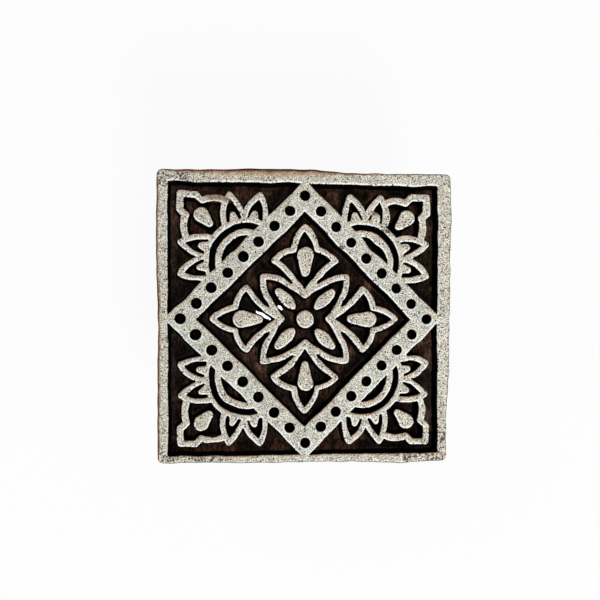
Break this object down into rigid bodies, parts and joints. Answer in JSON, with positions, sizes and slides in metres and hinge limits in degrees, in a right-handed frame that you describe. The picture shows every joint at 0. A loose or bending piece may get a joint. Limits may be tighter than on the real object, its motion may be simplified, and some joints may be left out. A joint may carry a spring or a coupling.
{
  "type": "wooden textile printing block",
  "caption": "Square hand block for printing cloth: a floral tile figure carved in relief, with a coved wooden grip nailed to its back.",
  "frame": {"origin": "middle of the grip's flat crown, on the surface that the block stands on when it lies face up", "axes": "+Z the way the printing face looks, +X along the grip, +Y across it"},
  "size_m": [0.1, 0.1, 0.055],
  "materials": {
    "carved_wood": "oiled sheesham, dark in the cut ground, with chalky white worn over the printing face",
    "grip_wood": "hand-worn sheesham, smooth and slightly darkened by handling",
    "nail_iron": "dull forged iron, lightly rusted"
  },
  "bodies": {
    "root": {"carved_block": "carved_wood", "grip": "grip_wood", "nail_left_inner": "nail_iron", "nail_left_outer": "nail_iron", "nail_right_inner": "nail_iron", "nail_right_outer": "nail_iron"}
  },
  "joints": []
}
